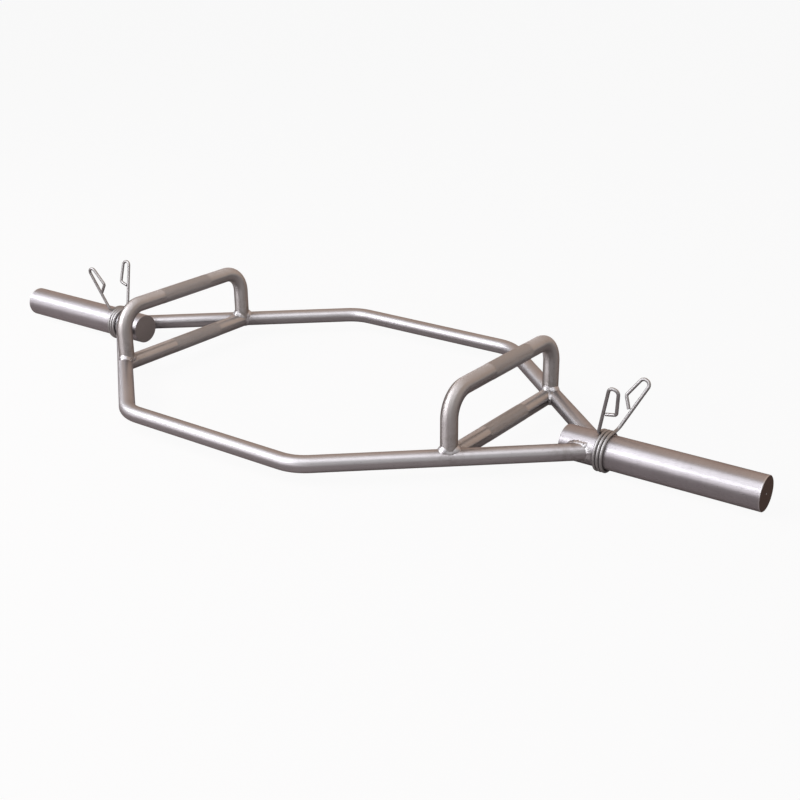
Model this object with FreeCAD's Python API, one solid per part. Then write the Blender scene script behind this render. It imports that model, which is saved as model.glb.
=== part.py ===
"""Hex trap bar: a six-sided lifting frame with plate sleeves, low and raised handles and spring collars.

Millimetres, +Z up, +X along the right sleeve, +Y to the rear. The bar lies level on its two collars, and the
origin is on that floor, midway between the handles.
"""
import FreeCAD, Part
import math
import os
from FreeCAD import Vector

# Welded bar
handle_spacing = 645.8          # between the axes of the two handles
sleeve_offset = 106.3           # from a handle's axis to the inner end of its sleeve
sleeve_length = 293.0
sleeve_diameter = 50.0
sleeve_edge_break = 0.8
centre_mark_diameter = 3.0
bar_diameter = 25.0             # frame bars and handles
frame_depth = 570.8             # between the axes of the front and rear straight runs
diagonal_angle = 41.4           # degrees, between a diagonal and the sleeves
frame_bend_radius = 60.0        # on the centre line
raised_height = 93.4            # from a low handle's axis up to the raised handle's axis
raised_bend_radius = 38.0       # on the centre line
raised_leg_inset = 5.5          # a leg's axis inside the point where handle and diagonal cross

# Welds and fit-up
weld_reach = 3.0                # beside the bar that is welded on
weld_rise = 2.6                 # above the bar that it is welded to
sleeve_weld_setback = 7.0       # from the inner end of a sleeve to its welds
fit_up_gap = 0.2                # at a coped end
weld_clearance = 0.05

# Spring collars, each bent from one round wire
wire_diameter = 5.0
coil_turns = 3
turn_gap = 0.5                  # between neighbouring turns
coil_clearance = 0.3            # between wire and sleeve
collar_seat_gap = 0.4           # between the first turn and the weld
floor_flat_depth = 0.5          # flat under each coil, where the bar lies on it
loop_width = 14.0               # between centre lines at the top of a loop
loop_lower_radius = 4.5         # on the centre line
loop_tip_gap = 0.4              # between the wire's tip and the leg

# Each lever as bent: angles in degrees, seen along its own sleeve from the bar's middle.
# A foot angle and a lean count from straight up towards the outer lever, a splay towards the sleeve's end.
# A toe is the straight wire before the foot's bend, whose radius is on the centre line.
# Heights count along the leg, and a spread is how much wider the loop is at its lower bend.
right_inner_foot_angle = 3.8
right_inner_lean = -12.2
right_inner_splay = 14.8
right_inner_toe_length = 0.5
right_inner_foot_radius = 6.0
right_inner_leg_length = 82.0
right_inner_loop_spread = 4.9
right_inner_bend_height = 43.3
right_inner_tip_height = 34.4

right_outer_foot_angle = -4.0
right_outer_lean = 18.1
right_outer_splay = 25.4
right_outer_toe_length = 6.9
right_outer_foot_radius = 12.0
right_outer_leg_length = 78.9
right_outer_loop_spread = 5.5
right_outer_bend_height = 44.8
right_outer_tip_height = 27.3

left_inner_foot_angle = 1.2
left_inner_lean = -15.8
left_inner_splay = 7.6
left_inner_toe_length = 0.5
left_inner_foot_radius = 6.0
left_inner_leg_length = 83.4
left_inner_loop_spread = 4.9
left_inner_bend_height = 46.5
left_inner_tip_height = 38.7

left_outer_foot_angle = 9.2
left_outer_lean = 9.4
left_outer_splay = 24.8
left_outer_toe_length = 0.5
left_outer_foot_radius = 6.0
left_outer_leg_length = 82.0
left_outer_loop_spread = 7.7
left_outer_bend_height = 47.1
left_outer_tip_height = 34.2

cut_overrun = 1.0               # how far a cutting body passes the face that it opens
full_turn = 360.0
quarter_turn = full_turn / 4
gap_points_per_turn = 360       # points on which the gap between turns is measured

# Sizes that follow from those above
bar_radius = bar_diameter / 2
sleeve_radius = sleeve_diameter / 2
wire_radius = wire_diameter / 2
centre_mark_radius = centre_mark_diameter / 2
handle_x = handle_spacing / 2
sleeve_inner_x = handle_x + sleeve_offset
sleeve_outer_x = sleeve_inner_x + sleeve_length
diagonal_slope = math.tan(math.radians(diagonal_angle))
weld_half_length = (bar_radius + weld_reach) / math.sin(math.radians(diagonal_angle))
weld_middle_x = sleeve_inner_x + sleeve_weld_setback + weld_half_length
weld_outer_x = weld_middle_x + weld_half_length
crossing_x = weld_middle_x + sleeve_radius / diagonal_slope
run_y = frame_depth / 2
corner_x = crossing_x - run_y / diagonal_slope
handle_end_y = (crossing_x - handle_x) * diagonal_slope
raised_leg_y = handle_end_y - raised_leg_inset
coil_radius = sleeve_radius + coil_clearance + wire_radius
coil_pitch = wire_diameter + turn_gap
seat_height_share = math.cos(math.radians(diagonal_angle))
seat_width = collar_seat_gap + wire_radius - (coil_radius - sleeve_radius) * seat_height_share
coil_x = weld_outer_x + seat_width / math.sin(math.radians(diagonal_angle)) - coil_pitch / 4
loop_bend_radius = loop_width / 2
axis_height = coil_radius + wire_radius - floor_flat_depth

X_AXIS = Vector(1, 0, 0)
Z_AXIS = Vector(0, 0, 1)


def at(x, y, height=0):
    """Point at a height above the plane of the frame's axes."""
    return Vector(x, y, axis_height + height)


def turned(shape):
    """The same piece on the left side: the right one turned half round about the bar's middle."""
    return shape.rotated(Vector(0, 0, 0), Z_AXIS, full_turn / 2)


def cylinder(start, end, radius):
    """Round bar between two points."""
    return Part.makeCylinder(radius, (end - start).Length, start, end - start)


def arc_between(start, corner, end):
    """Arc from start to end, tangent there to the lines that meet in the corner."""
    chord_middle = (start + end) * 0.5
    half_chord = (end - start).Length / 2
    cosine = half_chord / (corner - start).Length
    return Part.Arc(start, chord_middle + (corner - chord_middle) * (cosine / (1 + cosine)), end).toShape()


def rounded_path(points, radii):
    """Straight runs through the points, with a tangent arc at each point between the ends."""
    edges = []
    here = points[0]
    for before, corner, after, radius in zip(points, points[1:], points[2:], radii):
        back = (before - corner).normalize()
        onward = (after - corner).normalize()
        tangent_length = radius / math.tan(back.getAngle(onward) / 2)
        arc_start = corner + back * tangent_length
        arc_end = corner + onward * tangent_length
        edges.append(Part.LineSegment(here, arc_start).toShape())
        edges.append(arc_between(arc_start, corner, arc_end))
        here = arc_end
    edges.append(Part.LineSegment(here, points[-1]).toShape())
    return Part.Wire(edges)


def bar_along(path, radius):
    """Solid round bar that follows a path."""
    first = path.OrderedEdges[0]
    start = first.valueAt(first.FirstParameter)
    section = Part.Wire(Part.makeCircle(radius, start, first.tangentAt(first.FirstParameter)))
    sweep = Part.BRepOffsetAPI.MakePipeShell(path)
    sweep.add(section)
    sweep.build()
    sweep.makeSolid()
    return sweep.shape()


def sleeve_cylinder(radius):
    """Cylinder over the right sleeve's length."""
    return cylinder(at(sleeve_inner_x, 0), at(sleeve_outer_x, 0), radius)


def diagonal_cylinder(side, radius):
    """Cylinder along the right-hand diagonal of the front (-1) or rear (+1) bar."""
    return cylinder(at(crossing_x, 0), at(corner_x, side * run_y), radius)


def handle_cylinder(radius):
    """Cylinder along the right low handle, from one diagonal's axis to the other."""
    return cylinder(at(handle_x, -handle_end_y), at(handle_x, handle_end_y), radius)


def leg_cylinder(side, radius):
    """Cylinder along the right raised handle's front (-1) or rear (+1) leg."""
    foot = at(handle_x, side * raised_leg_y)
    return cylinder(foot, foot + Z_AXIS * raised_height, radius)


def frame_bar(side):
    """Front (-1) or rear (+1) frame bar: bent twice, with both ends coped to the sleeves."""
    corners = [
        at(-crossing_x, 0),
        at(-corner_x, side * run_y),
        at(corner_x, side * run_y),
        at(crossing_x, 0),
    ]
    bar = bar_along(rounded_path(corners, [frame_bend_radius] * 2), bar_radius)
    sleeve_space = sleeve_cylinder(sleeve_radius + fit_up_gap)
    return bar.cut(sleeve_space).cut(turned(sleeve_space))


def sleeve():
    """Right plate sleeve: a solid turned bar with broken edges and a centre mark in its outer end."""
    bar = sleeve_cylinder(sleeve_radius)
    rims = [edge for edge in bar.Edges if edge.isClosed()]
    bar = bar.makeChamfer(sleeve_edge_break, rims)
    mark = Part.makeCone(centre_mark_radius, 0, centre_mark_radius, at(sleeve_outer_x, 0), -X_AXIS)
    return bar.cut(mark)


def low_handle():
    """Right low handle: a straight bar coped to both diagonals."""
    bar = handle_cylinder(bar_radius)
    for side in (-1, 1):
        bar = bar.cut(diagonal_cylinder(side, bar_radius + fit_up_gap))
    return bar


def raised_handle():
    """Right raised handle: a hoop whose feet are coped to the diagonals and the low handle."""
    corners = [
        at(handle_x, -raised_leg_y),
        at(handle_x, -raised_leg_y, raised_height),
        at(handle_x, raised_leg_y, raised_height),
        at(handle_x, raised_leg_y),
    ]
    hoop = bar_along(rounded_path(corners, [raised_bend_radius] * 2), bar_radius)
    for side in (-1, 1):
        hoop = hoop.cut(diagonal_cylinder(side, bar_radius + fit_up_gap))
    return hoop.cut(handle_cylinder(bar_radius + fit_up_gap))


def sleeve_weld(side):
    """Bead round the end of a diagonal, on the right sleeve."""
    bead = diagonal_cylinder(side, bar_radius + weld_reach)
    bead = bead.common(sleeve_cylinder(sleeve_radius + weld_rise))
    bead = bead.cut(diagonal_cylinder(side, bar_radius + weld_clearance))
    return bead.cut(sleeve_cylinder(sleeve_radius + weld_clearance))


def handle_weld(side):
    """Bead under and beside the end of the right low handle, on its diagonal."""
    bead = handle_cylinder(bar_radius + weld_reach)
    bead = bead.common(diagonal_cylinder(side, bar_radius + weld_rise))
    bead = bead.cut(diagonal_cylinder(side, bar_radius + weld_clearance))
    bead = bead.cut(handle_cylinder(bar_radius + weld_clearance))
    return bead.cut(leg_cylinder(side, bar_radius + weld_reach + weld_clearance))


def foot_weld(side):
    """Bead round a foot of the right raised handle, on the diagonal and the low handle."""
    collar = leg_cylinder(side, bar_radius + weld_reach)
    collar = collar.cut(leg_cylinder(side, bar_radius + weld_clearance))
    on_diagonal = collar.common(diagonal_cylinder(side, bar_radius + weld_rise))
    on_handle = collar.common(handle_cylinder(bar_radius + weld_rise))
    bead = on_diagonal.fuse(on_handle)
    bead = bead.cut(diagonal_cylinder(side, bar_radius + weld_clearance))
    return bead.cut(handle_cylinder(bar_radius + weld_clearance)).removeSplitter()


def turn_point(angle, first_angle):
    """Point of the wire's centre line on the coil; angles count from the top, over the rear."""
    x = coil_x + coil_pitch * (angle - first_angle) / full_turn
    return at(x, coil_radius * math.sin(math.radians(angle)), coil_radius * math.cos(math.radians(angle)))


def turn_direction(angle):
    """Direction of the wire at an angle of the coil."""
    climb = coil_pitch / math.radians(full_turn)
    across = coil_radius * math.cos(math.radians(angle))
    down = coil_radius * math.sin(math.radians(angle))
    return Vector(climb, across, -down).normalize()


def biarc(start, start_direction, end, end_direction):
    """Two arcs that join smoothly and keep the directions at both ends."""
    chord = end - start
    along = chord.dot(start_direction + end_direction)
    bend = 2 * (1 - start_direction.dot(end_direction))
    reach = (math.sqrt(along * along + bend * chord.dot(chord)) - along) / bend
    middle = (start + end + (start_direction - end_direction) * reach) * 0.5
    return [
        arc_between(start, start + start_direction * reach, middle),
        arc_between(middle, end - end_direction * reach, end),
    ]


def coil_path(first_angle, last_angle):
    """Centre line of a coil, with a straight end one wire diameter long at each side."""
    spans = max(1, round((last_angle - first_angle) / quarter_turn))
    angles = [first_angle + (last_angle - first_angle) * k / spans for k in range(spans + 1)]
    first_point = turn_point(first_angle, first_angle)
    last_point = turn_point(last_angle, first_angle)
    first_face = first_point - turn_direction(first_angle) * wire_diameter
    last_face = last_point + turn_direction(last_angle) * wire_diameter
    edges = [Part.LineSegment(first_face, first_point).toShape()]
    for before, after in zip(angles, angles[1:]):
        start = turn_point(before, first_angle)
        end = turn_point(after, first_angle)
        edges += biarc(start, turn_direction(before), end, turn_direction(after))
    edges.append(Part.LineSegment(last_point, last_face).toShape())
    return Part.Wire(edges)


def least_gap(path):
    """Least gap between the turns of a coil, measured between points of its centre line."""
    points = path.discretize(Number=gap_points_per_turn * coil_turns)
    half = gap_points_per_turn // 2
    distances = []
    for k, point in enumerate(points):
        distances += [point.distanceToPoint(other) for other in points[k + half:k + half + gap_points_per_turn]]
    return min(distances) - wire_diameter


def coil(name, inner_foot_angle, outer_foot_angle):
    """Close-wound coil of one collar on the right sleeve, flat where the bar lies on it."""
    path = coil_path(inner_foot_angle, outer_foot_angle + coil_turns * full_turn)
    print(name, "least gap between turns, mm:", round(least_gap(path), 3))
    wound = bar_along(path, wire_radius)
    length = wound.BoundBox.XLength + 2 * cut_overrun
    width = wound.BoundBox.YLength
    corner = Vector(wound.BoundBox.XMin - cut_overrun, -width / 2, -floor_flat_depth - cut_overrun)
    return wound.cut(Part.makeBox(length, width, floor_flat_depth + cut_overrun, corner))


def lever(start, direction, lean, splay, toe_length, foot_radius, leg_length, spread, bend_height, tip_height):
    """Lever of a collar on the right sleeve: a bent-up leg and a closed loop towards the other lever.

    The wire starts square on the coil's end; the loop's wire comes back to stop just beside the leg.
    """
    flat = math.cos(math.radians(splay))
    up = Vector(
        math.sin(math.radians(splay)),
        flat * math.sin(math.radians(lean)),
        flat * math.cos(math.radians(lean)),
    )
    toe = toe_length + foot_radius * math.tan(direction.getAngle(up) / 2)
    corner = start + direction * toe
    towards = X_AXIS if direction.y < 0 else -X_AXIS
    towards = (towards - up * towards.dot(up)).normalize()
    shoulder = corner + up * leg_length
    far_shoulder = shoulder + towards * loop_width
    lower_bend = corner + up * bend_height + towards * (loop_width + spread)
    last_run = (corner + up * tip_height - lower_bend).normalize()
    slant = last_run.getAngle(-towards)
    stop = (wire_radius + loop_tip_gap + wire_radius * math.sin(slant)) / math.cos(slant)
    tip = corner + up * tip_height - last_run * stop
    points = [start, corner, shoulder, far_shoulder, lower_bend, tip]
    radii = [foot_radius, loop_bend_radius, loop_bend_radius, loop_lower_radius]
    return bar_along(rounded_path(points, radii), wire_radius)


def inner_lever(foot_angle, *bends):
    """Lever at the coil's end beside the weld, with the bends that lever() takes."""
    direction = -turn_direction(foot_angle)
    start = turn_point(foot_angle, foot_angle) + direction * wire_diameter
    return lever(start, direction, *bends)


def outer_lever(inner_foot_angle, foot_angle, *bends):
    """Lever at the coil's end that faces the sleeve's end, with the bends that lever() takes."""
    direction = turn_direction(foot_angle)
    start = turn_point(foot_angle + coil_turns * full_turn, inner_foot_angle) + direction * wire_diameter
    return lever(start, direction, *bends)


def welded_bar():
    """The rigid bar: frame bars, sleeves, handles and welds."""
    pieces = {
        "front_frame_bar": frame_bar(-1),
        "rear_frame_bar": frame_bar(1),
        "right_sleeve": sleeve(),
        "left_sleeve": turned(sleeve()),
        "right_low_handle": low_handle(),
        "left_low_handle": turned(low_handle()),
        "right_raised_handle": raised_handle(),
        "left_raised_handle": turned(raised_handle()),
    }
    for side, right_place, left_place in ((-1, "front", "rear"), (1, "rear", "front")):
        for kind, bead in (("sleeve", sleeve_weld), ("low_handle", handle_weld), ("raised_handle", foot_weld)):
            pieces[f"right_{right_place}_{kind}_weld"] = bead(side)
            pieces[f"left_{left_place}_{kind}_weld"] = turned(bead(side))
    return pieces


def right_collar():
    """Coil and levers of the collar on the right sleeve."""
    return {
        "right_collar_coil": coil("right_collar_coil", right_inner_foot_angle, right_outer_foot_angle),
        "right_collar_inner_lever": inner_lever(
            right_inner_foot_angle,
            right_inner_lean,
            right_inner_splay,
            right_inner_toe_length,
            right_inner_foot_radius,
            right_inner_leg_length,
            right_inner_loop_spread,
            right_inner_bend_height,
            right_inner_tip_height,
        ),
        "right_collar_outer_lever": outer_lever(
            right_inner_foot_angle,
            right_outer_foot_angle,
            right_outer_lean,
            right_outer_splay,
            right_outer_toe_length,
            right_outer_foot_radius,
            right_outer_leg_length,
            right_outer_loop_spread,
            right_outer_bend_height,
            right_outer_tip_height,
        ),
    }


def left_collar():
    """Coil and levers of the collar on the left sleeve."""
    return {
        "left_collar_coil": turned(coil("left_collar_coil", left_inner_foot_angle, left_outer_foot_angle)),
        "left_collar_inner_lever": turned(inner_lever(
            left_inner_foot_angle,
            left_inner_lean,
            left_inner_splay,
            left_inner_toe_length,
            left_inner_foot_radius,
            left_inner_leg_length,
            left_inner_loop_spread,
            left_inner_bend_height,
            left_inner_tip_height,
        )),
        "left_collar_outer_lever": turned(outer_lever(
            left_inner_foot_angle,
            left_outer_foot_angle,
            left_outer_lean,
            left_outer_splay,
            left_outer_toe_length,
            left_outer_foot_radius,
            left_outer_leg_length,
            left_outer_loop_spread,
            left_outer_bend_height,
            left_outer_tip_height,
        )),
    }


os.makedirs("parts", exist_ok=True)
for node, shape in {**welded_bar(), **right_collar(), **left_collar()}.items():
    shape.exportStep(f"parts/{node}.step")
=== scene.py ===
"""Hex trap bar with two spring collars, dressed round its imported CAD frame.

Metres, +Z up, +X along the right sleeve, +Y to the rear. The CAD bars, sleeves, handles and levers keep
their shapes and get finishes; the weld beads, the wound coils and the knurled grips are modelled here.
"""
import logging
import math
import random
from dataclasses import dataclass
from enum import Enum
from itertools import product
from typing import Any, Iterable

import bmesh
import bpy
from mathutils import Matrix, Vector


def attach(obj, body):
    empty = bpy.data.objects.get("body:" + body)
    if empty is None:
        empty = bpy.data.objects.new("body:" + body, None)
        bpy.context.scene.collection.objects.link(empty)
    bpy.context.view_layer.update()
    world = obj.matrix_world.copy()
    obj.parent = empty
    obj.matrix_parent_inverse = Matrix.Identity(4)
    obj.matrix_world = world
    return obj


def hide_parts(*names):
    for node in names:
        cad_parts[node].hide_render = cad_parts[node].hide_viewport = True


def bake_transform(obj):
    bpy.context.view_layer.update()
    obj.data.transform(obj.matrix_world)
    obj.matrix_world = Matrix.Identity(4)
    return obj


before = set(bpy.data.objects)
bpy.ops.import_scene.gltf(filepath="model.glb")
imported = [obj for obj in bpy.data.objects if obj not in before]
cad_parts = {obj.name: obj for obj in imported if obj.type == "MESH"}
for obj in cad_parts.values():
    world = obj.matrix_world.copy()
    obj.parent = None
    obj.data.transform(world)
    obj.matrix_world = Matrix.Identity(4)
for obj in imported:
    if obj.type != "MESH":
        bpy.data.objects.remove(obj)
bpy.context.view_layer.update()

log = logging.getLogger("hex_trap_bar")

Colour = tuple[float, float, float]
Point = tuple[float, float, float]
Span = tuple[float, float]
Toe = tuple[Vector, Vector, Vector]
Stub = tuple[Vector, Vector, float]
Node = bpy.types.Node
Socket = bpy.types.NodeSocket
Tree = bpy.types.NodeTree
Material = bpy.types.Material
BAR_BODY = "bar"
KNURL_ATTRIBUTE = "knurl_height"
MERGE_DISTANCE = 1e-7
FULL_TURN = 360.0
WHITE: Colour = (1.0, 1.0, 1.0)


class Signed(Enum):
    """One of two opposite ends, with the sign of its coordinate."""

    @property
    def word(self) -> str:
        """The end's part of a node's name."""
        return self.name.lower()


class Side(Signed):
    """Side of the bar, with the sign of its X."""

    RIGHT = 1
    LEFT = -1


class Place(Signed):
    """Front or rear of the bar, with the sign of its Y."""

    FRONT = -1
    REAR = 1


class Slot(Enum):
    """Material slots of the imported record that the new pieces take."""

    HANDLE = "handle_steel"
    WELD = "weld_steel"
    WIRE = "spring_wire"


class Joint(Enum):
    """What a weld bead joins to the diagonals of the frame."""

    SLEEVE = "sleeve"
    LOW_HANDLE = "low_handle"
    RAISED_HANDLE = "raised_handle"


class BarRun(Enum):
    """How a ground bar runs, which is the way its sheen is drawn out."""

    NONE = "none"
    ALONG_X = "along X"
    ALONG_Y = "along Y"
    FRAME = "frame"
    HOOP = "hoop"


class CoilHalf(Enum):
    """The half of a collar's coil that ends in the inner or the outer lever."""

    INNER = "inner"
    OUTER = "outer"


@dataclass(frozen=True)
class BarLayout:
    """Sizes of the welded bar that several pieces share."""

    axis_height: float = 0.0298
    bar_radius: float = 0.0125
    sleeve_radius: float = 0.025
    sleeve_inner_x: float = 0.4292
    sleeve_outer_x: float = 0.7222
    crossing_x: float = 0.4880
    diagonal_angle: float = math.radians(41.4)
    handle_x: float = 0.3229
    leg_y: float = 0.1401
    raised_axis_height: float = 0.1232
    raised_bend_radius: float = 0.038
    frame_bend_start: float = 0.142
    frame_bend_end: float = 0.186

    @property
    def across_diagonal(self) -> Vector:
        """Level direction square to the rear right diagonal, out of the frame."""
        return Vector((math.sin(self.diagonal_angle), math.cos(self.diagonal_angle), 0.0))


LAYOUT = BarLayout()


class Graph:
    """Adds shader nodes to a node tree and wires them."""

    def __init__(self, tree: Tree) -> None:
        """Keeps the tree that the nodes go into."""
        self.tree = tree

    def link(self, source: Socket, target: Socket) -> None:
        """Wires an output socket to an input socket."""
        self.tree.links.new(source, target)

    def add(self, kind: str, inputs: dict[Any, Any] | None = None, **settings: Any) -> Node:
        """Adds one node.

        Args:
            kind: The node's type name.
            inputs: Socket names or numbers, each with a value or an output socket to link.
            **settings: Properties of the node.

        Returns:
            The new node.
        """
        node = self.tree.nodes.new(kind)
        for key, value in settings.items():
            setattr(node, key, value)
        for key, value in (inputs or {}).items():
            if isinstance(value, Socket):
                self.link(value, node.inputs[key])
            else:
                node.inputs[key].default_value = value
        return node

    def noise(self, vector: Socket, scale: Any, detail: float, roughness: float = 0.55) -> Socket:
        """Adds a noise texture on coordinates, and gives its value."""
        inputs = {"Vector": vector, "Scale": scale, "Detail": detail, "Roughness": roughness}
        return self.add("ShaderNodeTexNoise", inputs).outputs["Fac"]

    def ramp(self, value: Socket, span: tuple[Any, Any], to: tuple[Any, Any]) -> Socket:
        """Maps a value from one span to another, clamped; the limits are numbers or sockets."""
        limits = {"From Min": span[0], "From Max": span[1], "To Min": to[0], "To Max": to[1]}
        return self.add("ShaderNodeMapRange", {"Value": value, **limits}).outputs["Result"]

    def math(self, operation: str, first: Any, second: Any = 0.0, third: Any = 0.0) -> Socket:
        """Adds a math node on up to three values or sockets, and gives its result."""
        node = self.add("ShaderNodeMath", {0: first, 1: second, 2: third}, operation=operation)
        return node.outputs[0]

    def group(self, tree: Tree, inputs: dict[str, Any]) -> Node:
        """Places a node group, with values and links for its sockets."""
        return self.add("ShaderNodeGroup", inputs, node_tree=tree)

    def mix(self, factor: Any, first: Any, second: Any) -> Socket:
        """Mixes two colours or sockets by the share of the second one."""
        node = self.add("ShaderNodeMix", {0: factor, 6: first, 7: second}, data_type="RGBA")
        return node.outputs[2]


def opaque(colour: Colour) -> tuple[float, float, float, float]:
    """The colour with full alpha, for a colour socket."""
    return (*colour, 1.0)


def facing(direction: Vector) -> Matrix:
    """The turn that takes +Z to a direction."""
    return direction.to_track_quat("Z", "Y").to_matrix().to_4x4()


def points_of(geometry: Iterable[Any]) -> list[bmesh.types.BMVert]:
    """The points in what a bmesh operator gives back."""
    return [item for item in geometry if isinstance(item, bmesh.types.BMVert)]


def new_material(name: str) -> tuple[Material, Graph]:
    """Starts a material that has no nodes yet.

    Args:
        name: The material's name.

    Returns:
        The material and a graph on it.
    """
    material = bpy.data.materials.new(name)
    material.use_nodes = True
    material.node_tree.nodes.clear()
    return material, Graph(material.node_tree)


def new_group(name: str, inputs: dict[str, str], outputs: dict[str, str]) -> tuple[Tree, Graph, Any, Any]:
    """Starts a shader node group.

    Args:
        name: The group's name.
        inputs: Names of its input sockets with their types.
        outputs: Names of its output sockets with their types.

    Returns:
        The group, a graph on it, its input node's outputs and its output node's inputs.
    """
    tree = bpy.data.node_groups.new(name, "ShaderNodeTree")
    for direction, sockets in (("INPUT", inputs), ("OUTPUT", outputs)):
        for socket, kind in sockets.items():
            tree.interface.new_socket(name=socket, in_out=direction, socket_type=f"NodeSocket{kind}")
    graph = Graph(tree)
    return tree, graph, graph.add("NodeGroupInput").outputs, graph.add("NodeGroupOutput").inputs


class SteelEffects:
    """Node groups for what the steel finishes have in common."""

    def __init__(self) -> None:
        """Builds each group once."""
        self.tone = self.make_tone()
        self.grain = self.make_grain()
        self.rings = self.make_rings()
        self.stain = self.make_stain()
        self.pits = self.make_pits()

    @staticmethod
    def make_tone() -> Tree:
        """Cloudy change between two tones, with small dark specks.

        Returns:
            The group.
        """
        tree, graph, given, result = new_group(
            "steel_tone",
            {"Vector": "Vector", "Cloud Scale": "Float", "Speck Scale": "Float", "Speck Depth": "Float",
             "Low Tone": "Color", "High Tone": "Color"},
            {"Color": "Color"},
        )
        clouds = graph.noise(given["Vector"], given["Cloud Scale"], detail=5.0, roughness=0.6)
        cloud = graph.ramp(clouds, span=(0.34, 0.66), to=(0.0, 1.0))
        tone = graph.mix(cloud, given["Low Tone"], given["High Tone"])
        specks = graph.noise(given["Vector"], given["Speck Scale"], detail=2.0)
        speck = graph.ramp(specks, span=(0.62, 0.74), to=(0.0, given["Speck Depth"]))
        dirt = opaque((0.03, 0.025, 0.024))
        dark = graph.mix(factor=0.72, first=given["Low Tone"], second=dirt)
        graph.link(graph.mix(speck, tone, dark), result["Color"])
        return tree

    @staticmethod
    def make_grain() -> Tree:
        """Fine grain of a ground and plated surface.

        Returns:
            The group.
        """
        tree, graph, given, result = new_group(
            "satin_grain",
            {"Vector": "Vector", "Scale": "Float", "Smooth": "Float", "Rough": "Float"},
            {"Height": "Float", "Roughness": "Float"},
        )
        fine = graph.noise(given["Vector"], given["Scale"], detail=3.0, roughness=0.6)
        broad = graph.noise(given["Vector"], scale=32.0, detail=4.0, roughness=0.65)
        fine_share = 0.45
        fine_part = graph.math("MULTIPLY", fine, fine_share)
        both = graph.math("ADD", fine_part, graph.math("MULTIPLY", broad, 1.0 - fine_share))
        roughness = graph.ramp(both, span=(0.36, 0.64), to=(given["Smooth"], given["Rough"]))
        graph.link(fine, result["Height"])
        graph.link(roughness, result["Roughness"])
        return tree

    @staticmethod
    def make_rings() -> Tree:
        """Turning lines round an axis along X, and along the radius of its end faces.

        Returns:
            The group.
        """
        tree, graph, given, result = new_group(
            "turning_lines",
            {"Vector": "Vector", "Axis Height": "Float"},
            {"Lines": "Float", "Bands": "Float"},
        )
        split = graph.add("ShaderNodeSeparateXYZ", {0: given["Vector"]}).outputs
        rise = graph.math("SUBTRACT", split["Z"], given["Axis Height"])
        rise_square = graph.math("MULTIPLY", rise, rise)
        square = graph.math("ADD", rise_square, graph.math("MULTIPLY", split["Y"], split["Y"]))
        feed = graph.math("ADD", split["X"], graph.math("SQRT", square))
        drift = 0.03
        along = graph.add("ShaderNodeCombineXYZ", {
            "X": feed,
            "Y": graph.math("MULTIPLY", split["Y"], drift),
            "Z": graph.math("MULTIPLY", split["Z"], drift),
        }).outputs[0]
        graph.link(graph.noise(along, scale=1500.0, detail=2.0, roughness=0.6), result["Lines"])
        graph.link(graph.noise(along, scale=160.0, detail=4.0, roughness=0.7), result["Bands"])
        return tree

    @staticmethod
    def make_stain() -> Tree:
        """Smudged heat stain round the welds, the same in all four quarters of the bar.

        Returns:
            The group.
        """
        inputs = {"Vector": "Vector", "Reach": "Float"}
        tree, graph, given, result = new_group("weld_stain", inputs, {"Mask": "Float"})
        folded = graph.add("ShaderNodeVectorMath", {0: given["Vector"]}, operation="ABSOLUTE")
        handle_joint = (LAYOUT.handle_x, LAYOUT.leg_y, 0.046)
        sleeve_joint = (0.452, 0.033, LAYOUT.axis_height)
        core = 0.012
        masks = []
        for spot in (handle_joint, sleeve_joint):
            ends = {0: folded.outputs["Vector"], 1: spot}
            away = graph.add("ShaderNodeVectorMath", ends, operation="DISTANCE").outputs["Value"]
            masks.append(graph.ramp(away, span=(core, given["Reach"]), to=(1.0, 0.0)))
        near = graph.math("MAXIMUM", *masks)
        smudge = graph.noise(given["Vector"], scale=95.0, detail=5.0, roughness=0.65)
        patch = graph.ramp(smudge, span=(0.42, 0.62), to=(0.0, 1.0))
        graph.link(graph.math("MULTIPLY", near, patch), result["Mask"])
        return tree

    @staticmethod
    def make_pits() -> Tree:
        """Small pits and spatter of a weld; the weld finish paints the pits near black as shade.

        Returns:
            The group.
        """
        inputs = {"Vector": "Vector", "Scale": "Float"}
        tree, graph, given, result = new_group("weld_pits", inputs, {"Mask": "Float"})
        bent = graph.add("ShaderNodeTexNoise", {"Vector": given["Vector"], "Scale": 210.0, "Detail": 2.0})
        bend_depth = 0.004
        shifted = graph.add(
            "ShaderNodeVectorMath",
            {0: bent.outputs["Color"], 1: (bend_depth, bend_depth, bend_depth), 2: given["Vector"]},
            operation="MULTIPLY_ADD",
        ).outputs["Vector"]
        cells = graph.add("ShaderNodeTexVoronoi", {"Vector": shifted, "Scale": given["Scale"]})
        spot = graph.ramp(cells.outputs["Distance"], span=(0.16, 0.34), to=(1.0, 0.0))
        patches = graph.noise(given["Vector"], scale=120.0, detail=2.0)
        few = graph.ramp(patches, span=(0.48, 0.58), to=(0.0, 1.0))
        graph.link(graph.math("MULTIPLY", spot, few), result["Mask"])
        return tree


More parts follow.
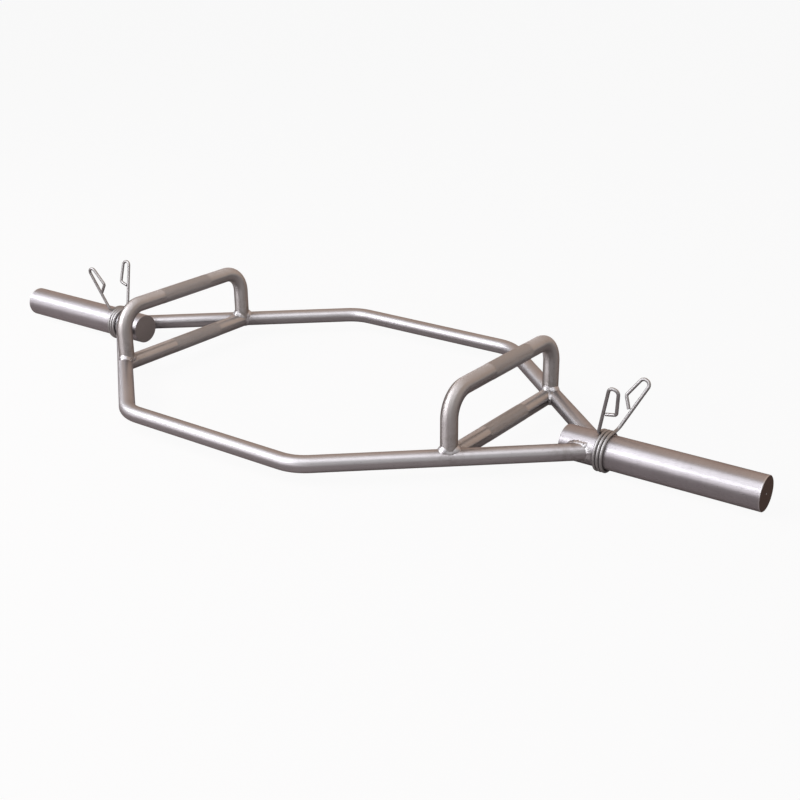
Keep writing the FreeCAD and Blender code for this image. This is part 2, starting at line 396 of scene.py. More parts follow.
@dataclass(frozen=True)
class SteelFinish:
    """A satin metal finish: tones, gloss, grain and the way its sheen is drawn out."""

    name: str
    low_tone: Colour
    high_tone: Colour
    smooth: float
    rough: float
    grain_scale: float = 900.0
    grain_depth: float = 0.000003
    run: BarRun = BarRun.NONE
    sheen_stretch: float = 0.0
    axis_lift: float = 0.02
    edge_tint: Colour = (0.5, 0.44, 0.42)
    cloud_scale: float = 11.0
    speck_scale: float = 420.0
    speck_depth: float = 0.35
    stain_tone: Colour = (0.14, 0.118, 0.108)
    stain_share: float = 0.45
    stain_reach: float = 0.04
    stain_roughness: float = 0.08

    def start(self, effects: SteelEffects) -> tuple[Material, Graph, Socket, Node, Node]:
        """Starts the finish's material with its tone and grain.

        Args:
            effects: The shared node groups.

        Returns:
            The material, a graph on it, Object coordinates, the tone node and the grain node.
        """
        material, graph = new_material(self.name)
        place = graph.add("ShaderNodeTexCoord").outputs["Object"]
        tone = graph.group(effects.tone, {
            "Vector": place,
            "Cloud Scale": self.cloud_scale,
            "Speck Scale": self.speck_scale,
            "Speck Depth": self.speck_depth,
            "Low Tone": opaque(self.low_tone),
            "High Tone": opaque(self.high_tone),
        })
        grain = graph.group(effects.grain, {
            "Vector": place, "Scale": self.grain_scale, "Smooth": self.smooth, "Rough": self.rough,
        })
        return material, graph, place, tone, grain

    def bar_axis(self, graph: Graph, place: Socket) -> Socket:
        """Direction in which the sheen is drawn out: along the bar, round its bends too.

        Args:
            graph: Graph of the material.
            place: Object coordinates.

        Returns:
            The direction's socket.
        """
        straight = {BarRun.ALONG_X: "X", BarRun.ALONG_Y: "Y"}
        if self.run in straight:
            axis = {straight[self.run]: 1.0, "Z": self.axis_lift}
            return graph.add("ShaderNodeCombineXYZ", axis).outputs[0]
        split = graph.add("ShaderNodeSeparateXYZ", {0: place}).outputs
        if self.run is BarRun.FRAME:
            out = graph.math("ABSOLUTE", split["X"])
            bend = (LAYOUT.frame_bend_start, LAYOUT.frame_bend_end)
            slope = graph.ramp(out, bend, to=(0.0, -math.tan(LAYOUT.diagonal_angle)))
            quarter = graph.math("SIGN", graph.math("MULTIPLY", split["X"], split["Y"]))
            slant = graph.math("MULTIPLY", slope, quarter)
            return graph.add("ShaderNodeCombineXYZ", {"X": 1.0, "Y": slant}).outputs[0]
        bend_height = LAYOUT.raised_axis_height - LAYOUT.raised_bend_radius
        bend_depth = LAYOUT.leg_y - LAYOUT.raised_bend_radius
        rise = graph.math("MAXIMUM", graph.math("SUBTRACT", split["Z"], bend_height), 0.0)
        depth = graph.math("SUBTRACT", graph.math("ABSOLUTE", split["Y"]), bend_depth)
        beyond = graph.math("MULTIPLY", graph.math("MAXIMUM", depth, 0.0), graph.math("SIGN", split["Y"]))
        fall = graph.math("MULTIPLY", beyond, -1.0)
        return graph.add("ShaderNodeCombineXYZ", {"Y": rise, "Z": fall}).outputs[0]

    def close(
        self, graph: Graph, place: Socket, colour: Socket, roughness: Socket, height: Socket,
        depth: float | None = None,
    ) -> None:
        """Adds the metal shader and its bump, and wires them to the output.

        Args:
            graph: Graph of the material.
            place: Object coordinates.
            colour: Base colour's socket.
            roughness: Roughness socket.
            height: Height socket for the bump.
            depth: Depth of the bump in metres, where it isn't the grain's own.
        """
        bump = graph.add("ShaderNodeBump", {
            "Strength": 1.0, "Distance": depth or self.grain_depth, "Height": height,
        })
        metal = graph.add("ShaderNodeBsdfPrincipled", {
            "Base Color": colour, "Metallic": 1.0, "Roughness": roughness,
            "Specular Tint": opaque(self.edge_tint), "Normal": bump.outputs["Normal"],
        })
        if self.run is not BarRun.NONE:
            metal.inputs["Anisotropic"].default_value = self.sheen_stretch
            graph.link(self.bar_axis(graph, place), metal.inputs["Tangent"])
        graph.add("ShaderNodeOutputMaterial", {"Surface": metal.outputs["BSDF"]})

    def material(self, effects: SteelEffects) -> Material:
        """Builds the finish for a bar: tone, grain and stain near the welds.

        Args:
            effects: The shared node groups.

        Returns:
            The material.
        """
        material, graph, place, tone, grain = self.start(effects)
        stain = graph.group(effects.stain, {"Vector": place, "Reach": self.stain_reach}).outputs["Mask"]
        share = graph.math("MULTIPLY", stain, self.stain_share)
        stained = graph.mix(share, tone.outputs["Color"], opaque(self.stain_tone))
        dulled = graph.math("MULTIPLY_ADD", stain, self.stain_roughness, grain.outputs["Roughness"])
        self.close(graph, place, stained, dulled, grain.outputs["Height"])
        return material


@dataclass(frozen=True)
class TurnedFinish(SteelFinish):
    """Finish of the plate sleeves: turning lines round them, dull faced ends painted darker as shade, and
    a lighter outer rim of wear and painted highlight.
    """

    # Painted shade: the end faces get darker copies of the sleeve's steel tone, the outer end darkest.
    outer_end_tone: Colour = (0.105, 0.085, 0.08)
    inner_end_tone: Colour = (0.225, 0.21, 0.212)
    end_skin: Span = (0.0001, 0.0003)
    end_roughness: float = 0.1
    # The outer rim's lighter band is wear and a painted highlight, for the light that the chamfer catches.
    rim_tone: Colour = (0.46, 0.44, 0.44)
    rim_width: float = 0.0024
    rim_share: float = 0.7
    band_tone: Colour = (0.2, 0.185, 0.185)
    band_share: float = 0.16
    line_depth: float = 0.000004
    line_roughness: float = 0.08

    def material(self, effects: SteelEffects) -> Material:
        """Builds the finish for the sleeves.

        Args:
            effects: The shared node groups.

        Returns:
            The material.
        """
        material, graph, place, tone, grain = self.start(effects)
        rings = graph.group(effects.rings, {"Vector": place, "Axis Height": LAYOUT.axis_height}).outputs
        out = graph.math("ABSOLUTE", graph.add("ShaderNodeSeparateXYZ", {0: place}).outputs["X"])
        inner_x, outer_x = LAYOUT.sleeve_inner_x, LAYOUT.sleeve_outer_x
        thin, thick = self.end_skin
        outer_end = graph.ramp(out, span=(outer_x - thick, outer_x - thin), to=(0.0, 1.0))
        inner_end = graph.ramp(out, span=(inner_x + thin, inner_x + thick), to=(1.0, 0.0))
        # Painted highlight with wear: a lighter band round the outer rim.
        rim_wear_and_highlight_span = (outer_x - self.rim_width, outer_x - self.rim_width / 3)
        rim_wear_and_highlight = graph.ramp(out, rim_wear_and_highlight_span, to=(0.0, self.rim_share))
        band = graph.ramp(rings["Bands"], span=(0.4, 0.7), to=(0.0, self.band_share))
        colour = graph.mix(band, tone.outputs["Color"], opaque(self.band_tone))
        colour = graph.mix(rim_wear_and_highlight, colour, opaque(self.rim_tone))
        # Painted shade on the outer and inner end faces.
        colour = graph.mix(outer_end, colour, opaque(self.outer_end_tone))
        colour = graph.mix(inner_end, colour, opaque(self.inner_end_tone))
        lined = graph.math("MULTIPLY_ADD", rings["Lines"], self.line_roughness, grain.outputs["Roughness"])
        faced = graph.math("MAXIMUM", outer_end, inner_end)
        dulled = graph.math("MULTIPLY_ADD", faced, self.end_roughness, lined)
        self.close(graph, place, colour, dulled, rings["Lines"], self.line_depth)
        return material


@dataclass(frozen=True)
class KnurlFinish(SteelFinish):
    """Finish of the knurled grips: dark grooves and lighter worn points."""

    groove_tone: Colour = (0.21, 0.2, 0.198)
    worn_span: Span = (0.1, 0.75)

    def material(self, effects: SteelEffects) -> Material:
        """Builds the finish for the grips.

        Args:
            effects: The shared node groups.

        Returns:
            The material.
        """
        material, graph, place, tone, grain = self.start(effects)
        height = graph.add("ShaderNodeAttribute", attribute_name=KNURL_ATTRIBUTE).outputs["Fac"]
        worn = graph.ramp(height, self.worn_span, to=(0.0, 1.0))
        colour = graph.mix(worn, opaque(self.groove_tone), tone.outputs["Color"])
        self.close(graph, place, colour, grain.outputs["Roughness"], grain.outputs["Height"])
        return material


@dataclass(frozen=True)
class WeldFinish(SteelFinish):
    """Finish of the weld beads: bright plated metal with dark pits, whose near-black tone is painted
    shade.
    """

    pit_scale: float = 230.0
    # Near-black painted shade of the pits.
    pit_tone: Colour = (0.03, 0.024, 0.02)
    pit_roughness: float = 0.3

    def material(self, effects: SteelEffects) -> Material:
        """Builds the finish for the weld beads.

        Args:
            effects: The shared node groups.

        Returns:
            The material.
        """
        material, graph, place, tone, grain = self.start(effects)
        pits = graph.group(effects.pits, {"Vector": place, "Scale": self.pit_scale}).outputs["Mask"]
        # Painted shade: the pits are mixed to a near-black tone for the shade inside them.
        colour = graph.mix(pits, tone.outputs["Color"], opaque(self.pit_tone))
        dulled = graph.math("MULTIPLY_ADD", pits, self.pit_roughness, grain.outputs["Roughness"])
        height = graph.math("SUBTRACT", grain.outputs["Height"], pits)
        self.close(graph, place, colour, dulled, height)
        return material


class Finishes:
    """The materials of the bar and its collars."""

    def __init__(self) -> None:
        """Builds each material once."""
        effects = SteelEffects()
        self.frame = SteelFinish(
            "satin_frame_steel", (0.288, 0.272, 0.276), (0.322, 0.307, 0.312),
            smooth=0.39, rough=0.45, run=BarRun.FRAME, sheen_stretch=0.62,
        ).material(effects)
        handle_tones = (0.284, 0.263, 0.255), (0.318, 0.296, 0.288)
        self.low_handle = SteelFinish(
            "satin_low_handle_steel", *handle_tones,
            smooth=0.35, rough=0.41, run=BarRun.ALONG_Y, sheen_stretch=0.8,
        ).material(effects)
        self.raised_handle = SteelFinish(
            "satin_raised_handle_steel", *handle_tones,
            smooth=0.39, rough=0.45, run=BarRun.HOOP, sheen_stretch=0.85,
        ).material(effects)
        self.sleeve = TurnedFinish(
            "turned_sleeve_steel", (0.298, 0.28, 0.289), (0.338, 0.319, 0.33),
            smooth=0.39, rough=0.45, run=BarRun.ALONG_X, sheen_stretch=0.75,
        ).material(effects)
        self.grip = KnurlFinish(
            "knurled_grip_steel", (0.36, 0.342, 0.34), (0.415, 0.396, 0.394),
            smooth=0.38, rough=0.44, grain_scale=1400.0,
        ).material(effects)
        self.weld = WeldFinish(
            "plated_weld_metal", (0.315, 0.3, 0.303), (0.375, 0.36, 0.365),
            smooth=0.37, rough=0.45, grain_scale=700.0, grain_depth=0.000012,
        ).material(effects)
        self.wire = SteelFinish(
            "plated_spring_wire", (0.232, 0.221, 0.218), (0.272, 0.26, 0.257),
            smooth=0.44, rough=0.5, grain_scale=700.0, grain_depth=0.000002,
            cloud_scale=60.0, speck_depth=0.15,
        ).material(effects)


def finished_object(name: str, shape: bmesh.types.BMesh, material: Material) -> bpy.types.Object:
    """Turns a finished bmesh into an object at the origin.

    Args:
        name: The piece's name.
        shape: Its bmesh, which is freed.
        material: Its material.

    Returns:
        The new object.
    """
    bmesh.ops.remove_doubles(shape, verts=shape.verts[:], dist=MERGE_DISTANCE)
    bmesh.ops.recalc_face_normals(shape, faces=shape.faces[:])
    mesh = bpy.data.meshes.new(name)
    shape.to_mesh(mesh)
    shape.free()
    mesh.materials.append(material)
    made = bpy.data.objects.new(name, mesh)
    bpy.context.scene.collection.objects.link(made)
    log.info("%s: %d faces", name, len(mesh.polygons))
    return made


def dress_nodes(names: Iterable[str], material: Material) -> None:
    """Gives CAD nodes that stay a finish.

    Args:
        names: The nodes' names.
        material: Their material.
    """
    for name in names:
        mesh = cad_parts[name].data
        mesh.materials.clear()
        mesh.materials.append(material)
        log.info("%s: CAD node in %s", name, material.name)


@dataclass(frozen=True)
class BeadForm:
    """How the droplets of one kind of weld bead lie."""

    droplet_radius: float
    droplets: int = 44
    flatness: Point = (1.45, 1.2, 0.72)
    flush_sink: float = 0.003
    largest_swell: float = 0.3
    climb: float = 0.0


BEAD_FORMS = {
    Joint.SLEEVE: BeadForm(
        0.0045, droplets=27, flatness=(1.45, 0.85, 0.8), flush_sink=0.0015, largest_swell=0.1,
    ),
    Joint.LOW_HANDLE: BeadForm(0.0048),
    Joint.RAISED_HANDLE: BeadForm(0.0041, climb=0.0017),
}


@dataclass
class WeldBead:
    """Smooth uneven fillet of one weld, made of flat droplets along the line where two bars meet."""

    joint: Joint
    side: Side
    place: Place
    sink: float = 0.0004
    flush_limit: float = 0.05
    waves: tuple[tuple[int, float], ...] = ((3, 0.1), (7, 0.11), (12, 0.08))
    foot_clearance: float = 0.001
    stub_inset: float = 0.00025
    stub_sides: int = 64
    diagonal_stub: float = 0.024
    handle_stub: float = 0.03
    leg_stub: float = 0.032
    branch_stub: Span = (0.01, 0.064)
    sleeve_stub_inset: float = 0.0015
    sleeve_stub_end: float = 0.4895
    voxel: float = 0.00055
    flow_factor: float = 0.5
    flow_steps: int = 8

    @property
    def node(self) -> str:
        """Name of the CAD weld that the bead stands for."""
        return f"{self.side.word}_{self.place.word}_{self.joint.value}_weld"

    def sleeve_toe(self, angle: float) -> Toe:
        """Point where the rear right diagonal meets its sleeve.

        Args:
            angle: Angle round the diagonal.

        Returns:
            The point, and the outward directions of both bars there.
        """
        slant = LAYOUT.diagonal_angle
        across = LAYOUT.across_diagonal
        spoke = across * math.cos(angle) + Vector((0, 0, math.sin(angle)))
        rise = LAYOUT.bar_radius * math.sin(angle)
        depth = math.sqrt(LAYOUT.sleeve_radius ** 2 - rise ** 2)
        run = (depth - LAYOUT.bar_radius * math.cos(angle) * across.y) / math.sin(slant)
        point = Vector((LAYOUT.crossing_x, 0, 0)) + Vector((-math.cos(slant), math.sin(slant), 0)) * run
        point += spoke * LAYOUT.bar_radius
        return point, spoke, Vector((0, depth, rise)) / LAYOUT.sleeve_radius

    def low_handle_toe(self, angle: float) -> Toe | None:
        """Point where the right low handle's rear end meets the diagonal.

        Args:
            angle: Angle round the handle.

        Returns:
            The point and both outward directions, or None under the raised handle's foot.
        """
        across = LAYOUT.across_diagonal
        radius = LAYOUT.bar_radius
        x = LAYOUT.handle_x + radius * math.cos(angle)
        rise = radius * math.sin(angle)
        inward = -radius * abs(math.cos(angle))
        y = (inward - (x - LAYOUT.crossing_x) * across.x) / across.y
        from_leg = math.hypot(x - LAYOUT.handle_x, y - LAYOUT.leg_y)
        if rise > 0 and from_leg < radius + self.foot_clearance:
            return None
        spoke = Vector((math.cos(angle), 0, math.sin(angle)))
        return Vector((x, y, rise)), spoke, across * (inward / radius) + Vector((0, 0, math.sin(angle)))

    def raised_handle_toe(self, angle: float) -> Toe | None:
        """Point where the right raised handle's rear foot meets the diagonal or the low handle.

        Args:
            angle: Angle round the leg.

        Returns:
            The point and both outward directions, or None beside both bars.
        """
        across = LAYOUT.across_diagonal
        radius = LAYOUT.bar_radius
        spoke = Vector((math.cos(angle), math.sin(angle), 0))
        flat = Vector((LAYOUT.handle_x, LAYOUT.leg_y, 0)) + spoke * radius
        off = (flat - Vector((LAYOUT.crossing_x, 0, 0))).dot(across)
        tops = []
        if abs(off) < radius:
            rise = math.sqrt(radius ** 2 - off ** 2)
            tops.append((rise, across * (off / radius) + Vector((0, 0, rise / radius))))
        if off < 0:
            rise = radius * abs(spoke.y)
            tops.append((rise, Vector((spoke.x, 0, rise / radius))))
        if not tops:
            return None
        rise, surface = max(tops, key=lambda top: top[0])
        return flat + Vector((0, 0, rise)), spoke, surface

    def stubs(self) -> list[Stub]:
        """Short lengths of the bars that meet here, which the bead's skin flows into.

        Returns:
            Each one's two ends and radius, at the rear right joint.
        """
        radius = LAYOUT.bar_radius
        slope = Vector((-math.cos(LAYOUT.diagonal_angle), math.sin(LAYOUT.diagonal_angle), 0))
        crossing = Vector((LAYOUT.crossing_x, 0, 0))
        middle = crossing + slope * ((LAYOUT.crossing_x - LAYOUT.handle_x) / -slope.x)
        foot = Vector((LAYOUT.handle_x, LAYOUT.leg_y, 0))
        diagonal = (middle - slope * self.diagonal_stub, middle + slope * self.diagonal_stub, radius)
        handle = (foot - Vector((0, self.handle_stub, 0)), foot, radius)
        leg = (foot, foot + Vector((0, 0, self.leg_stub)), radius)
        buried, bare = self.branch_stub
        branch = (crossing + slope * buried, crossing + slope * bare, radius)
        inner = Vector((LAYOUT.sleeve_inner_x + self.sleeve_stub_inset, 0, 0))
        sleeve = (inner, Vector((self.sleeve_stub_end, 0, 0)), LAYOUT.sleeve_radius)
        return {
            Joint.SLEEVE: [branch, sleeve],
            Joint.LOW_HANDLE: [diagonal, handle],
            Joint.RAISED_HANDLE: [diagonal, handle, leg],
        }[self.joint]

    def add_droplet(self, shape: bmesh.types.BMesh, toe: Toe, swell: float) -> None:
        """Lays one flat droplet on the line where the bars meet.

        Args:
            shape: The bead's bmesh.
            toe: The point on the line and the outward directions of both bars.
            swell: Share by which the droplet is larger than its usual size.
        """
        form = BEAD_FORMS[self.joint]
        point, spoke, surface = toe
        outward = (spoke + surface).normalized()
        onward = (surface - spoke).cross(outward)
        sink = self.sink + form.flush_sink * max(0.0, spoke.dot(surface))
        centre = point - outward * sink + Vector((0, 0, LAYOUT.axis_height))
        centre.z += form.climb
        if onward.length < self.flush_limit:
            onward = Vector((0, 0, 1)).cross(outward)
        onward.normalize()
        seat = Matrix((outward.cross(onward), onward, outward)).transposed().to_4x4()
        size = Matrix.Diagonal((*(Vector(form.flatness) * (1 + swell)), 1))
        droplet = Matrix.Translation(centre) @ seat @ size
        bmesh.ops.create_icosphere(shape, subdivisions=2, radius=form.droplet_radius, matrix=droplet)

    def build(self, material: Material) -> None:
        """Builds the bead as one skin over its droplets and the stubs just inside the bars.

        Args:
            material: Its material.
        """
        form = BEAD_FORMS[self.joint]
        find_toe = {
            Joint.SLEEVE: self.sleeve_toe,
            Joint.LOW_HANDLE: self.low_handle_toe,
            Joint.RAISED_HANDLE: self.raised_handle_toe,
        }[self.joint]
        draw = random.Random(self.node)
        phases = [draw.uniform(0, math.tau) for _ in self.waves]
        shape = bmesh.new()
        for count in range(form.droplets):
            angle = math.tau * count / form.droplets
            toe = find_toe(angle)
            if toe is None:
                continue
            swell = sum(
                depth * math.sin(turns * angle + phase)
                for (turns, depth), phase in zip(self.waves, phases)
            )
            self.add_droplet(shape, toe, min(swell, form.largest_swell))
        for start, end, radius in self.stubs():
            middle = (start + end) / 2 + Vector((0, 0, LAYOUT.axis_height))
            inset = radius - self.stub_inset
            bmesh.ops.create_cone(
                shape, cap_ends=True, segments=self.stub_sides, radius1=inset, radius2=inset,
                depth=(end - start).length, matrix=Matrix.Translation(middle) @ facing(end - start),
            )
        bmesh.ops.scale(shape, vec=(self.side.value, self.place.value, 1), verts=shape.verts[:])
        bead = finished_object(f"{self.node}_bead", shape, material)
        skin = bead.modifiers.new("skin", "REMESH")
        skin.mode = "VOXEL"
        skin.voxel_size = self.voxel
        skin.use_smooth_shade = True
        flow = bead.modifiers.new("flow", "SMOOTH")
        flow.factor = self.flow_factor
        flow.iterations = self.flow_steps
        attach(bead, BAR_BODY)
        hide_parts(self.node)


@dataclass
class KnurledGrip:
    """Diamond-knurled stretch of one handle."""

    handle: str
    side: Side
    height: float
    start_y: float
    end_y: float
    columns: int = 48
    groove_radius: float = 0.01252
    point_height: float = 0.00025
    sink: float = 0.0004

    def set_radius(self, verts: Iterable[bmesh.types.BMVert], radius: float) -> None:
        """Moves points straight out or in to a radius about the handle's axis.

        Args:
            verts: The points.
            radius: Their new radius.
        """
        axis_x = self.side.value * LAYOUT.handle_x
        for vert in verts:
            spoke = Vector((vert.co.x - axis_x, 0, vert.co.z - self.height)).normalized()
            vert.co.x = axis_x + spoke.x * radius
            vert.co.z = self.height + spoke.z * radius

    def build(self, material: Material) -> None:
        """Builds the skin of diamonds: a square net, turned into diamonds, each raised to a point.

        Args:
            material: Its material.
        """
        shape = bmesh.new()
        peak = shape.verts.layers.float.new(KNURL_ATTRIBUTE)
        pitch = math.tau * self.groove_radius / self.columns
        rows = round((self.end_y - self.start_y) / pitch)
        seat = Matrix.Translation((self.side.value * LAYOUT.handle_x, self.start_y, self.height))
        ring = seat @ Matrix.Rotation(-math.pi / 2, 4, "X")
        bmesh.ops.create_circle(shape, segments=self.columns, radius=self.groove_radius, matrix=ring)
        bmesh.ops.spin(
            shape, geom=shape.verts[:] + shape.edges[:], cent=seat.translation, axis=(0, 1, 0),
            dvec=(0, (self.end_y - self.start_y) / rows, 0), angle=0.0, steps=rows,
        )
        net = [edge for edge in shape.edges if not edge.is_boundary]
        middles = bmesh.ops.poke(shape, faces=shape.faces[:])["verts"]
        self.set_radius(middles, self.groove_radius)
        bmesh.ops.dissolve_edges(shape, edges=net)
        diamonds = [face for face in shape.faces if len(face.verts) == 4]
        points = bmesh.ops.poke(shape, faces=diamonds)["verts"]
        self.set_radius(points, self.groove_radius + self.point_height)
        for vert in points:
            vert[peak] = 1.0
        rims = [edge for edge in shape.edges if edge.is_boundary]
        sunk = bmesh.ops.extrude_edge_only(shape, edges=rims)["geom"]
        self.set_radius(points_of(sunk), self.groove_radius - self.sink)
        grip = finished_object(f"{self.handle}_knurl", shape, material)
        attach(grip, BAR_BODY)


@dataclass
class SpringCollar:
    """One spring collar: its two levers, and its coil in two halves."""

    side: Side
    first_angle: float
    last_angle: float
    first_x: float = 0.48275
    coil_radius: float = 0.0278
    pitch: float = 0.0055
    wire_radius: float = 0.0025
    end_length: float = 0.005
    wire_sides: int = 28
    step_degrees: float = 4.0
    sharp_degrees: float = 35.0
    inner_twist: Span = (0.4853, 0.4884)
    outer_twist: Span = (0.4936, 0.4966)

    @property
    def name(self) -> str:
        """Name of the collar's coil node and body."""
        return f"{self.side.word}_collar_coil"

    def point(self, angle: float) -> Vector:
        """Point of the wire's centre line.

        Args:
            angle: Angle in degrees, from the top over the rear.

        Returns:
            The point.
        """
        turn = math.radians(angle)
        x = self.first_x + self.pitch * (angle - self.first_angle) / FULL_TURN
        y = self.coil_radius * math.sin(turn)
        return Vector((x, y, LAYOUT.axis_height + self.coil_radius * math.cos(turn)))

    def direction(self, angle: float) -> Vector:
        """Direction of the wire's centre line.

        Args:
            angle: Angle in degrees, from the top over the rear.

        Returns:
            The direction, one long.
        """
        turn = math.radians(angle)
        y = self.coil_radius * math.cos(turn)
        z = -self.coil_radius * math.sin(turn)
        return Vector((self.pitch / math.tau, y, z)).normalized()

    def lever(self, half: CoilHalf) -> str:
        """Name of the lever's node and body at the end of one half."""
        return f"{self.side.word}_collar_{half.value}_lever"

    def build_half(self, half: CoilHalf, material: Material) -> None:
        """Winds half of the coil, with the straight end that meets its lever.

        Args:
            half: Which half.
            material: Its material.
        """
        inner = half is CoilHalf.INNER
        middle = (self.first_angle + self.last_angle) / 2
        start, end = (self.first_angle, middle) if inner else (middle, self.last_angle)
        steps = round((end - start) / self.step_degrees)
        shape = bmesh.new()
        seat = Matrix.Translation(self.point(start)) @ facing(self.direction(start))
        bmesh.ops.create_circle(shape, segments=self.wire_sides, radius=self.wire_radius, matrix=seat)
        first_ring = shape.edges[:]
        wound = bmesh.ops.spin(
            shape, geom=shape.verts[:] + first_ring, cent=(0, 0, LAYOUT.axis_height), axis=(-1, 0, 0),
            dvec=(self.pitch * (end - start) / FULL_TURN / steps, 0, 0),
            angle=math.radians(end - start), steps=steps,
        )
        last_ring = [item for item in wound["geom_last"] if isinstance(item, bmesh.types.BMEdge)]
        ring = first_ring if inner else last_ring
        onward = -self.direction(start) if inner else self.direction(end)
        straight = bmesh.ops.extrude_edge_only(shape, edges=ring)["geom"]
        bmesh.ops.translate(shape, verts=points_of(straight), vec=onward * self.end_length)
        bmesh.ops.bisect_plane(
            shape, geom=shape.verts[:] + shape.edges[:] + shape.faces[:],
            plane_co=(0, 0, 0), plane_no=(0, 0, -1), clear_outer=True,
        )
        bmesh.ops.holes_fill(shape, edges=[edge for edge in shape.edges if edge.is_boundary], sides=0)
        if self.side is Side.LEFT:
            half_turn = Matrix.Rotation(math.pi, 3, "Z")
            bmesh.ops.rotate(shape, cent=(0, 0, 0), matrix=half_turn, verts=shape.verts[:])
        made = finished_object(f"{self.name}_{half.value}_half", shape, material)
        made.data.shade_smooth()
        made.data.set_sharp_from_angle(angle=math.radians(self.sharp_degrees))
        bodies = (self.lever(half), self.name) if inner else (self.name, self.lever(half))
        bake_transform(made)
        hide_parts(self.name)

    def build(self, material: Material) -> None:
        """Winds the coil and gives the levers the same wire finish.

        Args:
            material: The wire's material.
        """
        for half in CoilHalf:
            self.build_half(half, material)
        dress_nodes([self.lever(half) for half in CoilHalf], material)


@dataclass
class WeldedBar:
    """The rigid bar: frame bars, sleeves, handles, welds and knurled grips."""

    grips: tuple[KnurledGrip, ...] = (
        KnurledGrip("right_low_handle", Side.RIGHT, LAYOUT.axis_height, -0.0487, 0.0545),
        KnurledGrip("right_raised_handle", Side.RIGHT, LAYOUT.raised_axis_height, -0.0387, 0.0635),
        KnurledGrip("left_low_handle", Side.LEFT, LAYOUT.axis_height, -0.0346, 0.0718),
        KnurledGrip("left_raised_handle", Side.LEFT, LAYOUT.raised_axis_height, -0.0527, 0.0552),
    )

    def build(self, finishes: Finishes) -> None:
        """Dresses the CAD bars and builds the beads and grips.

        Args:
            finishes: The materials.
        """
        dress_nodes([f"{place.word}_frame_bar" for place in Place], finishes.frame)
        dress_nodes([f"{side.word}_sleeve" for side in Side], finishes.sleeve)
        dress_nodes([f"{side.word}_low_handle" for side in Side], finishes.low_handle)
        dress_nodes([f"{side.word}_raised_handle" for side in Side], finishes.raised_handle)
        for side, place, joint in product(Side, Place, Joint):
            WeldBead(joint, side, place).build(finishes.weld)
        for grip in self.grips:
            grip.build(finishes.grip)


@dataclass(frozen=True)
class LightPanel:
    """A flat rectangle of light that faces its target."""

    name: str
    position: Point
    target: Point
    width: float
    depth: float
    radiance: float
    colour: Colour

    @property
    def aim(self) -> Vector:
        """Direction from the panel to its target."""
        return Vector(self.target) - Vector(self.position)


class SoftLamp(LightPanel):
    """A soft area lamp."""

    def build(self) -> None:
        """Sets up the lamp, turned to its target."""
        data = bpy.data.lights.new(self.name, "AREA")
        data.shape = "RECTANGLE"
        data.size = self.width
        data.size_y = self.depth
        data.color = self.colour
        data.energy = self.radiance * math.pi * self.width * self.depth
        lamp = bpy.data.objects.new(self.name, data)
        lamp.location = self.position
        lamp.rotation_euler = self.aim.to_track_quat("-Z", "Y").to_euler()
        lamp.visible_camera = False
        bpy.context.scene.collection.objects.link(lamp)
        log.info("%s: lamp", self.name)


class ReflectorCard(LightPanel):
    """A large warm card beside the set, for the metal to reflect."""

    def build(self) -> None:
        """Stands the card up, facing its target."""
        size = Matrix.Diagonal((self.width, self.depth, 1, 1))
        seat = Matrix.Translation(self.position) @ facing(self.aim) @ size
        shape = bmesh.new()
        bmesh.ops.create_grid(shape, size=0.5, matrix=seat)
        material, graph = new_material(self.name)
        glow = graph.add("ShaderNodeEmission", {"Color": opaque(self.colour), "Strength": self.radiance})
        graph.add("ShaderNodeOutputMaterial", {"Surface": glow.outputs[0]})
        card = finished_object(self.name, shape, material)
        card.visible_camera = False
        card.visible_shadow = False
        card.visible_diffuse = False


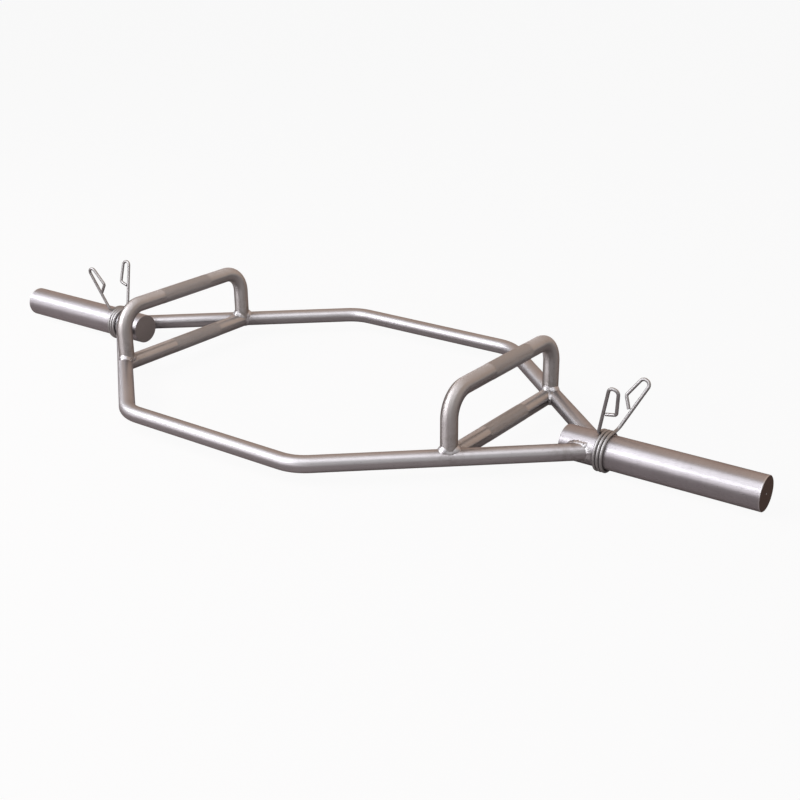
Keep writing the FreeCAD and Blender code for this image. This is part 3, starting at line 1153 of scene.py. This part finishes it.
@dataclass
class Studio:
    """Pale floor, soft light and the camera."""

    floor_reach: float = 16.0
    floor_tone: Colour = (0.43, 0.365, 0.35)
    floor_glow: float = 0.94
    floor_glow_in_metal: float = 0.12
    sky_fill: float = 0.1
    camera_position: Point = (1.188321, -1.433279, 0.747113)
    camera_yaw: float = -0.63281
    camera_pitch: float = 0.38644
    camera_roll: float = 0.008308
    focal_length: float = 55.69
    sensor_width: float = 36.0
    clip_end: float = 100.0
    lamps: tuple[SoftLamp, ...] = (
        SoftLamp(
            "front_softbox", (-1.25, -1.8, 1.45), (0.0, 0.0, 0.05),
            width=2.7, depth=0.75, radiance=12.0, colour=(0.92, 0.95, 1.0),
        ),
        SoftLamp(
            "upper_softbox", (-0.5, -1.05, 2.3), (-0.5, -0.2, 0.0),
            width=5.4, depth=1.4, radiance=2.7, colour=(0.92, 0.945, 1.0),
        ),
        SoftLamp(
            "low_softbox", (-1.0, -2.9, 0.6), (0.0, 0.0, 0.3),
            width=4.0, depth=1.1, radiance=2.2, colour=(0.96, 0.93, 1.0),
        ),
    )
    cards: tuple[ReflectorCard, ...] = (
        ReflectorCard(
            "rear_card", (-1.5, 4.2, 1.9), (-1.5, 0.0, 0.3),
            width=15.0, depth=3.4, radiance=1.15, colour=(1.0, 0.79, 0.65),
        ),
        ReflectorCard(
            "ceiling_card", (0.0, 2.6, 3.4), (0.0, 2.6, 0.0),
            width=14.0, depth=4.8, radiance=1.15, colour=(1.0, 0.82, 0.7),
        ),
    )

    @staticmethod
    def shown_rays(graph: Graph, camera: float, metal: float) -> Socket:
        """Share for rays that show the set itself: from the camera, and by reflection or through glass.

        Args:
            graph: Graph of the floor's or the world's material.
            camera: Share for rays from the camera.
            metal: Share for reflected and transmitted rays.

        Returns:
            The share's socket.
        """
        path = graph.add("ShaderNodeLightPath").outputs
        through = graph.math("MAXIMUM", path["Is Glossy Ray"], path["Is Transmission Ray"])
        seen = graph.math("MULTIPLY", path["Is Camera Ray"], camera)
        return graph.math("MAXIMUM", seen, graph.math("MULTIPLY", through, metal))

    def build_floor(self) -> None:
        """Lays the pale floor."""
        shape = bmesh.new()
        bmesh.ops.create_grid(shape, x_segments=2, y_segments=2, size=self.floor_reach)
        material, graph = new_material("pale_floor")
        matte = graph.add("ShaderNodeBsdfDiffuse", {"Color": opaque(self.floor_tone)})
        glow = graph.add("ShaderNodeEmission", {"Color": opaque(WHITE), "Strength": 1.0})
        share = self.shown_rays(graph, self.floor_glow, self.floor_glow_in_metal)
        both = graph.add("ShaderNodeMixShader", {0: share, 1: matte.outputs[0], 2: glow.outputs[0]})
        graph.add("ShaderNodeOutputMaterial", {"Surface": both.outputs[0]})
        finished_object("studio_floor", shape, material)

    def build_sky(self) -> None:
        """Sets the white surround, with a low fill light."""
        world = bpy.data.worlds.new("white_surround")
        bpy.context.scene.world = world
        world.use_nodes = True
        world.node_tree.nodes.clear()
        graph = Graph(world.node_tree)
        shown = graph.ramp(self.shown_rays(graph, 1.0, 1.0), span=(0.0, 1.0), to=(self.sky_fill, 1.0))
        surround = graph.add("ShaderNodeBackground", {"Color": opaque(WHITE), "Strength": shown})
        graph.add("ShaderNodeOutputWorld", {"Surface": surround.outputs[0]})

    def build_camera(self) -> None:
        """Sets the camera where the photograph was taken from."""
        flat = math.cos(self.camera_pitch)
        forward = Vector((
            math.sin(self.camera_yaw) * flat,
            math.cos(self.camera_yaw) * flat,
            -math.sin(self.camera_pitch),
        ))
        level = forward.cross(Vector((0, 0, 1))).normalized()
        down = forward.cross(level)
        roll_cos, roll_sin = math.cos(self.camera_roll), math.sin(self.camera_roll)
        right = level * roll_cos + down * roll_sin
        below = down * roll_cos - level * roll_sin
        data = bpy.data.cameras.new("photo_camera")
        data.sensor_width = self.sensor_width
        data.lens = self.focal_length
        data.clip_end = self.clip_end
        camera = bpy.data.objects.new("photo_camera", data)
        turn = Matrix((right, -below, -forward)).transposed().to_4x4()
        camera.matrix_world = Matrix.Translation(self.camera_position) @ turn
        bpy.context.scene.collection.objects.link(camera)
        bpy.context.scene.camera = camera

    def build(self) -> None:
        """Sets up the whole studio."""
        self.build_floor()
        self.build_sky()
        for lamp in self.lamps:
            lamp.build()
        for card in self.cards:
            card.build()
        self.build_camera()
        bpy.context.scene.view_settings.view_transform = "Standard"


def main() -> None:
    """Builds the bar, its collars and the studio."""
    logging.basicConfig(level=logging.INFO, format="%(name)s %(message)s")
    finishes = Finishes()
    WeldedBar().build(finishes)
    SpringCollar(Side.RIGHT, first_angle=3.8, last_angle=1076.0).build(finishes.wire)
    SpringCollar(Side.LEFT, first_angle=1.2, last_angle=1089.2).build(finishes.wire)
    Studio().build()


if __name__ == "__main__":
    main()
